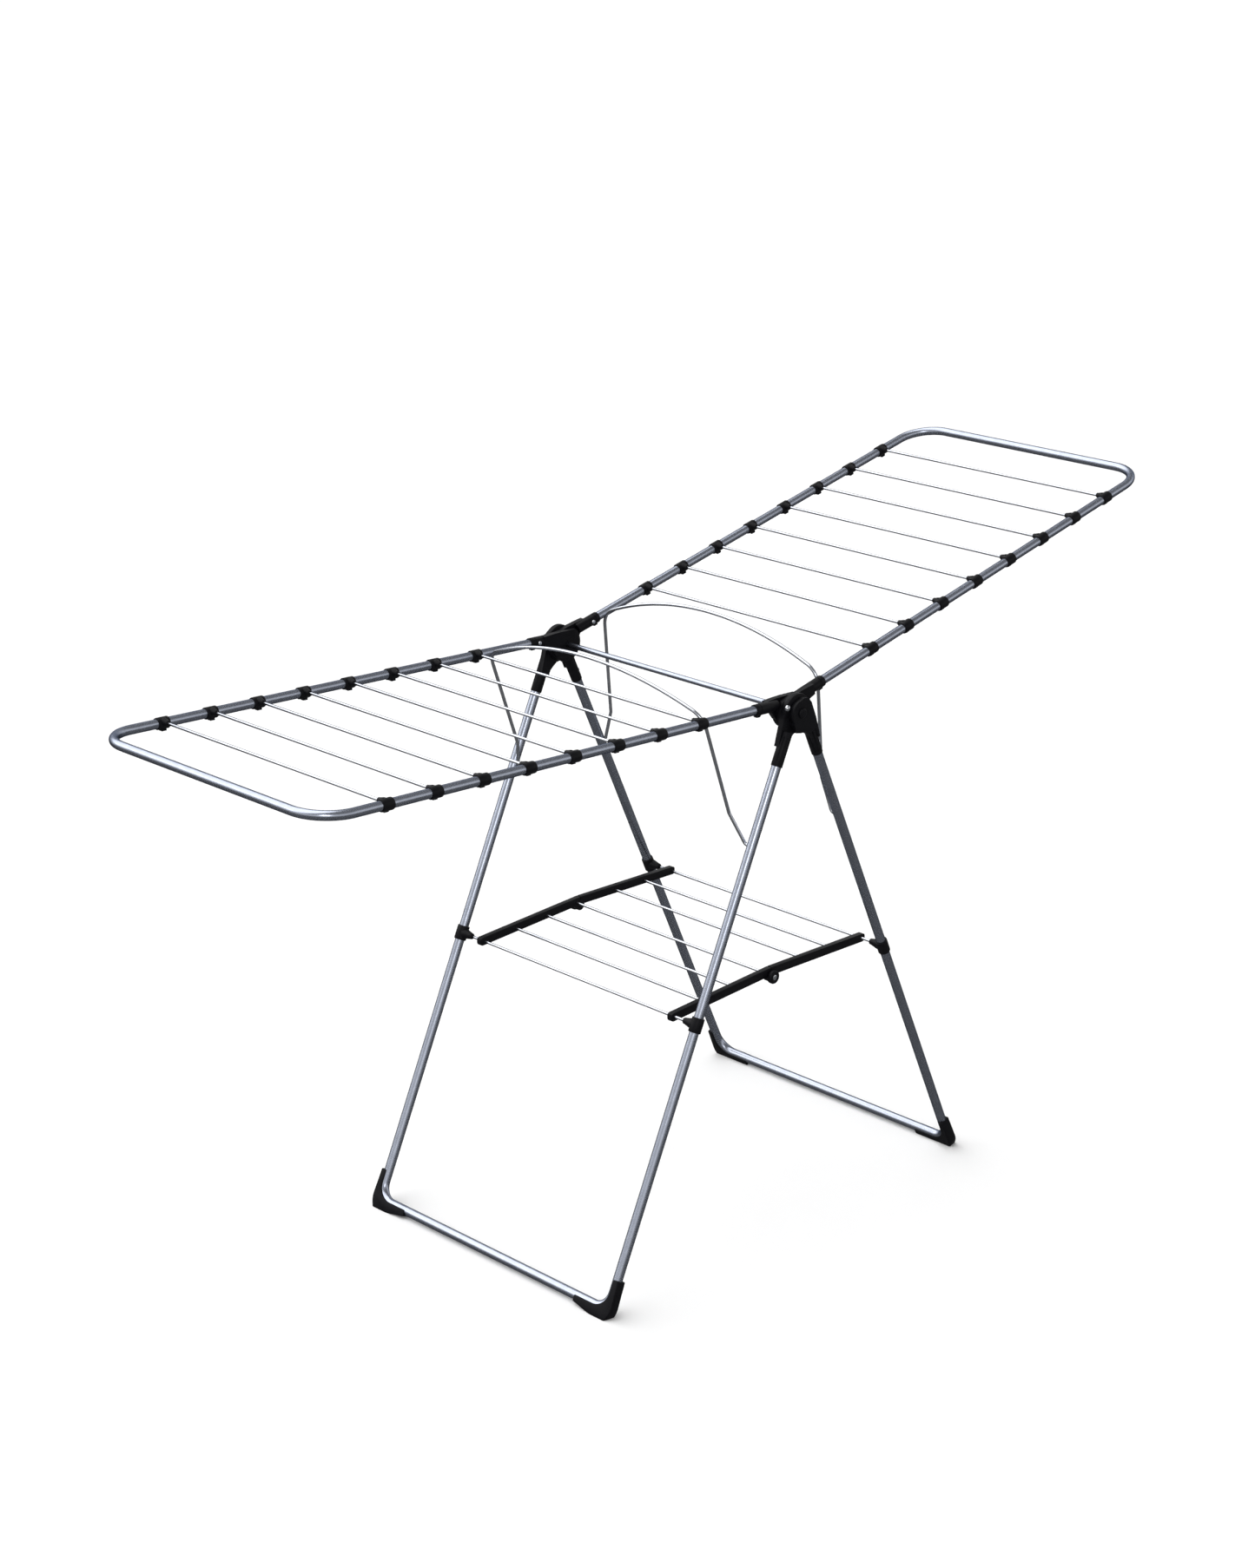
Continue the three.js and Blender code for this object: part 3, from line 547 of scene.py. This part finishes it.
def build_half(is_front):
    wing, leg = ("left", "front") if is_front else ("right", "rear")
    wing_body = wing + "_wing"
    leg_body = leg + "_legs"
    turned = Matrix.Rotation(math.pi if is_front else 0.0, 4, "Z")
    base = Matrix.Translation(HINGE) @ turned
    wing_place = base @ Matrix.Rotation(-RISE[wing], 4, "Y")
    leg_place = base @ Matrix.Rotation(-SPREAD, 4, "Y")
    piece(wing + "_wing_tube", wing_frame_mesh(), TUBE, wing_body, [wing + "_wing_frame"], wing_place)
    piece(leg + "_leg_tube", leg_frame_mesh(), TUBE, leg_body, [leg + "_leg_frame"], leg_place)
    bracket = wing_bracket(is_front)
    socket = leg_bracket(is_front)
    reach = RAIL_PLANE - WING_TUBE_R - 0.006
    rod = bar("rod", (0, -reach, RAIL_LIFT + ROD_LIFT), (0, reach, RAIL_LIFT + ROD_LIFT), ROD_R, 20)
    for i in range(RODS):
        spot = wing_place @ Matrix.Translation((FIRST_ROD + i * ROD_PITCH, 0, 0))
        number = str(i + 1)
        piece(wing + "_rod_" + number, rod, WIRE, wing_body, [wing + "_wing_rod_" + number], spot)
        for where, side in (("near", -1), ("far", 1)):
            local = -side if is_front else side
            mesh = CLAMP if local > 0 else CLAMP_MIRROR
            piece(wing + "_clamp_" + number + "_" + where, mesh, PLASTIC, wing_body,
                  [wing + "_wing_rod_" + number], spot)
    for where, side in (("near", -1), ("far", 1)):
        local = -side if is_front else side
        mirror = (lambda m: m if local > 0 else mirrored(m))
        piece(wing + "_bracket_" + where, mirror(bracket), PLASTIC, wing_body,
              [wing + "_wing_bracket_" + where], wing_place)
        piece(leg + "_bracket_" + where, mirror(socket), PLASTIC, leg_body,
              [leg + "_leg_bracket_" + where], leg_place)
        piece(leg + "_foot_cap_" + where, CAP if local > 0 else CAP_MIRROR, PLASTIC, leg_body,
              [leg + "_leg_foot_cap_" + where], base)
        piece(leg + "_shelf_clamp_" + where, LEG_CLAMP if local > 0 else LEG_CLAMP_MIRROR, PLASTIC, leg_body,
              [leg + "_leg_shelf_clamp_" + where], leg_place)
        on_sleeve = facing((0.070, local * (RAIL_PLANE - SLEEVE_R + 0.0003), RAIL_LIFT), (0, -local, 0))
        piece(wing + "_sleeve_screw_" + where, SCREW_HEAD, SCREW, wing_body, [], wing_place @ on_sleeve)
        face = -1 if is_front else 1
        on_leg = (LEG_OFFSET + face * (LEG_SLEEVE_R - 0.0003), local * LEG_PLANE, -0.082)
        at_sleeve = facing(on_leg, (face, 0, 0))
        piece(leg + "_sleeve_screw_" + where, SCREW_HEAD, SCREW, leg_body, [], leg_place @ at_sleeve)
    pivot_x = LEG_OFFSET * math.cos(SPREAD) + STAY_PIVOT * math.sin(SPREAD)
    pivot_z = LEG_OFFSET * math.sin(SPREAD) - STAY_PIVOT * math.cos(SPREAD)
    q = CROSSING[wing]
    cross_x = q * math.cos(RISE[wing]) - RAIL_LIFT * math.sin(RISE[wing])
    cross_z = q * math.sin(RISE[wing]) + RAIL_LIFT * math.cos(RISE[wing])
    lean = math.atan2(cross_x - pivot_x, cross_z - pivot_z)
    stay_place = base @ Matrix.Translation((pivot_x, 0, pivot_z)) @ Matrix.Rotation(lean, 4, "Y")
    piece(wing + "_stay_wire", STAY, WIRE, wing + "_stay", [wing + "_stay"], stay_place)


build_half(True)
build_half(False)

# ---- the hinge bar, its caps and the rivets --------------------------------------------------
at_hinge = Matrix.Translation(HINGE)
bar_end = LEG_SIDE_OUT + 0.0005
hinge_tube = bar("hinge_tube", (0, -bar_end, 0), (0, bar_end, 0), BAR_R, 32)
piece("hinge_tube", hinge_tube, TUBE, "hub", ["hinge_bar"], at_hinge)
boss_profile = [
    (0, 0), (0.009, 0), (0.009, 0.0012), (0.0084, 0.0022),
    (0.0070, 0.0028), (0.0045, 0.0029), (0, 0.0029),
]
RIVET = rivet_mesh()
for where, side in (("near", -1), ("far", 1)):
    boss = lathe("hinge_boss", boss_profile, (0, side * (bar_end + 0.0001), 0), (0, side, 0), 40)
    piece("hinge_boss_" + where, boss, PLASTIC, "hub", ["hinge_cap_" + where], at_hinge)
    spot = facing((-0.027, side * (FRONT_PLATE_OUT + 0.0001), 0.013), (0, side, 0))
    piece("rivet_head_" + where, RIVET, SCREW, "front_legs", ["bracket_rivet_" + where], at_hinge @ spot)


# ---- the shelf -------------------------------------------------------------------------------
FRONT_RODS = [SHELF_HALF - i * SHELF_PITCH for i in range(4)]
REAR_RODS = FRONT_RODS[:3]


def shelf_rail(is_front):
    """Half a side rail with its half-thick ear at the middle, drawn out along +X, on the +Y side."""
    y0 = SHELF_PLANE - 0.005
    y1 = SHELF_PLANE + 0.005
    lap = 0.00015
    ear = (y0, SHELF_PLANE - lap) if is_front else (SHELF_PLANE + lap, y1)
    pocket = (SHELF_PLANE - lap, y1 + 0.002) if is_front else (y0 - 0.002, SHELF_PLANE + lap)
    top = 0.0075
    low = -top
    tip = SHELF_HALF + 0.009
    start = 0.0006
    outline = [(start, low), (tip - 0.005, low), (tip - 0.0012, low + 0.0016), (tip, low + 0.005),
               (tip, top - 0.005), (tip - 0.0012, top - 0.0016), (tip - 0.005, top), (start, top)]
    web = [(start, KNOB_W - 0.009), (0.006, KNOB_W - 0.008), (0.018, low + 0.001), (0.018, low + 0.004),
           (start, low + 0.004)]
    cut = bar("pocket", (KNOB_U, pocket[0], KNOB_W), (KNOB_U, pocket[1], KNOB_W), 0.0106, 40)
    body = joined("shelf_rail", [slab("rail", outline, y0, y1)], [cut])
    disc = bar("ear", (KNOB_U, ear[0], KNOB_W), (KNOB_U, ear[1], KNOB_W), 0.010, 40, 0.0002)
    return joined("shelf_rail", [body, slab("flap", web, *ear), disc], [], 0.0011, 3)


knob_profile = [
    (0, -0.0105), (0.003, -0.0105), (0.003, 0.0), (0.0106, 0.0), (0.0116, 0.0006),
    (0.0120, 0.0018), (0.0120, 0.0068), (0.0114, 0.0082), (0.0100, 0.0090), (0.0070, 0.0090),
    (0.0062, 0.0084), (0.0052, 0.0082), (0, 0.0082),
]
centre_profile = [(0, 0), (0.0048, 0), (0.0048, 0.0006), (0.0038, 0.0011), (0, 0.0013)]
for part, is_front in (("front", True), ("rear", False)):
    body = "shelf_" + part
    turned = Matrix.Rotation(math.pi if is_front else 0.0, 4, "Z")
    lifted = Matrix.Translation((0, 0, SHELF_Z + SHELF_PEAK))
    place = at_hinge @ lifted @ turned @ Matrix.Rotation(SHELF_TILT, 4, "Y")
    rail = shelf_rail(is_front)
    for where, side in (("near", -1), ("far", 1)):
        local = -side if is_front else side
        mesh = rail if local > 0 else mirrored(rail)
        piece(body + "_side_" + where, mesh, PLASTIC, body, [body + "_rail_" + where], place)
    for i, u in enumerate(FRONT_RODS if is_front else REAR_RODS):
        end = SHELF_PLANE + 0.004
        if i == 0:
            end = STUB_END + 0.016 if is_front else STUB_END
        rod = bar("shelf_rod", (u, -end, 0), (u, end, 0), ROD_R, 20)
        number = str(i + 1)
        piece(body + "_wire_" + number, rod, WIRE, body, [body + "_rod_" + number], place)
knob_axis = at_hinge @ Matrix.Translation((0, 0, SHELF_Z + SHELF_PEAK - KNOB_DROP))
for where, side in (("near", -1), ("far", 1)):
    face = side * (SHELF_PLANE + 0.0053)
    knob = lathe("knob", knob_profile, (0, face, 0), (0, side, 0), 48)
    piece("shelf_knob_body_" + where, knob, PLASTIC, "shelf_front", ["shelf_knob_" + where], knob_axis)
    centre = lathe("knob_centre", centre_profile, (0, face + side * 0.0082, 0), (0, side, 0), 32)
    piece("shelf_knob_centre_" + where, centre, SCREW, "shelf_front", [], knob_axis)


# ---- floor, light and camera -----------------------------------------------------------------
def floor_material():
    made = bpy.data.materials.new("pale_floor")
    made.use_nodes = True
    shader = made.node_tree.nodes["Principled BSDF"]
    shader.inputs["Base Color"].default_value = (0.93, 0.93, 0.93, 1)
    shader.inputs["Roughness"].default_value = 0.9
    shader.inputs["Specular IOR Level"].default_value = 0.1
    return made


floor = thing("floor", slab("floor", [(-60, -0.02), (60, -0.02), (60, -0.0003), (-60, -0.0003)], -60, 60))
floor.data.materials.append(floor_material())
floor.visible_glossy = False

# Soft grey surroundings for light and reflections, in bands from straight down (0) to straight up
# (1), with plain white behind the rack for the camera alone.
world = bpy.data.worlds.new("studio")
bpy.context.scene.world = world
world.use_nodes = True
tree = world.node_tree
around = tree.nodes["Background"]
direction = tree.nodes.new("ShaderNodeTexCoord")
parts = tree.nodes.new("ShaderNodeSeparateXYZ")
height = tree.nodes.new("ShaderNodeMapRange")
height.inputs["From Min"].default_value = -1.0
bands = tree.nodes.new("ShaderNodeValToRGB")
tree.links.new(direction.outputs["Generated"], parts.inputs["Vector"])
tree.links.new(parts.outputs["Z"], height.inputs["Value"])
tree.links.new(height.outputs["Result"], bands.inputs["Fac"])
tree.links.new(bands.outputs["Color"], around.inputs["Color"])
BANDS = ((0.0, 0.14), (0.44, 0.16), (0.53, 0.80), (0.68, 0.80), (0.80, 0.24), (1.0, 0.24))
ramp = bands.color_ramp
while len(ramp.elements) < len(BANDS):
    ramp.elements.new(0.5)
for element, (spot, level) in zip(ramp.elements, BANDS):
    element.position = spot
    element.color = (level, level, level, 1)
white = tree.nodes.new("ShaderNodeBackground")
white.inputs["Color"].default_value = (1.0, 1.0, 1.0, 1)
white.inputs["Strength"].default_value = 1.0
seen = tree.nodes.new("ShaderNodeLightPath")
either = tree.nodes.new("ShaderNodeMixShader")
tree.links.new(seen.outputs["Is Camera Ray"], either.inputs["Fac"])
tree.links.new(around.outputs["Background"], either.inputs[1])
tree.links.new(white.outputs["Background"], either.inputs[2])
tree.links.new(either.outputs["Shader"], tree.nodes["World Output"].inputs["Surface"])


def lamp(name, kind, spot, aim, size, power):
    data = bpy.data.lights.new(name, kind)
    data.energy = power
    if kind == "SUN":
        data.angle = size
    else:
        data.size = size
    made = bpy.data.objects.new(name, data)
    bpy.context.scene.collection.objects.link(made)
    made.location = spot
    made.rotation_euler = (Vector(aim) - Vector(spot)).to_track_quat("-Z", "Y").to_euler()


lamp("sky", "SUN", (-1.2, 2.6, 4.2), (0, 0, 0), math.radians(85), 2.9)
lamp("key", "AREA", (-4.4, -4.4, 3.2), (0, 0, 0.7), 2.0, 60)

camera = bpy.data.cameras.new("camera")
camera.sensor_fit = "VERTICAL"
camera.sensor_height = 36.0
camera.lens = 69.65
camera.clip_end = 300.0
eye = bpy.data.objects.new("camera", camera)
bpy.context.scene.collection.objects.link(eye)
AZIMUTH = math.radians(-45.52)
ELEVATION = math.radians(19.71)
level = math.cos(ELEVATION)
back = Vector((math.sin(AZIMUTH) * level, -math.cos(AZIMUTH) * level, math.sin(ELEVATION)))
eye.rotation_euler = (-back).to_track_quat("-Z", "Y").to_euler()
eye.location = Vector((-3.6340, -3.4702, 2.5668))
bpy.context.scene.camera = eye
bpy.context.scene.view_settings.view_transform = "Standard"
